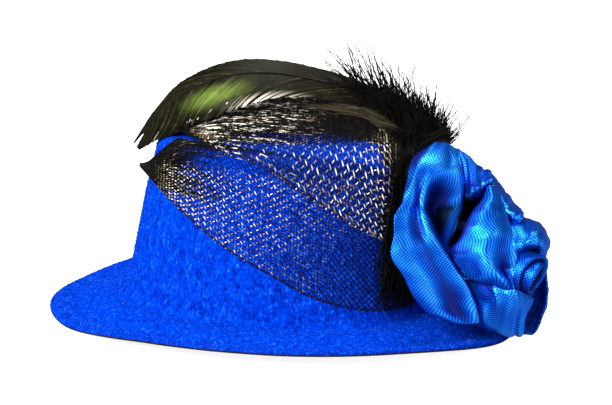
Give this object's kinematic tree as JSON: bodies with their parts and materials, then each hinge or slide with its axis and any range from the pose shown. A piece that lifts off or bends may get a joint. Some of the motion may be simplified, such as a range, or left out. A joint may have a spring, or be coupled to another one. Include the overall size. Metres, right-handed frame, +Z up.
{
  "type": "feathered hat",
  "caption": "Small oval felt hat with a flat-topped crown, worn on top of the hair, trimmed with leaves of black net, cock feathers and a satin ribbon rosette.",
  "frame": {"origin": "middle of the head opening, in the plane that the brim's two ends rest on", "axes": "+X along the oval brim towards the rosette, -Y the side that the net leaves cover, +Z up through the crown"},
  "size_m": [0.1564, 0.1256, 0.0852],
  "materials": {
    "felt_blue": "velour felt with a short nap",
    "net_black": "stiff shiny woven net",
    "feather_green": "glossy feather barbs with a green sheen",
    "satin_blue": "glossy satin"
  },
  "bodies": {
    "root": {"felt_hat": "felt_blue", "net_leaf_lower": "net_black", "net_leaf_upper": "net_black", "feather_long": "feather_green", "feather_short": "feather_green", "rosette_stump": "satin_blue", "petal_near": "satin_blue", "petal_far": "satin_blue", "petal_top": "satin_blue", "petal_mid_near": "satin_blue", "petal_mid_low": "satin_blue", "petal_mid_far": "satin_blue", "petal_mid_top": "satin_blue", "petal_inner_top": "satin_blue", "rosette_bud": "satin_blue"}
  },
  "joints": []
}
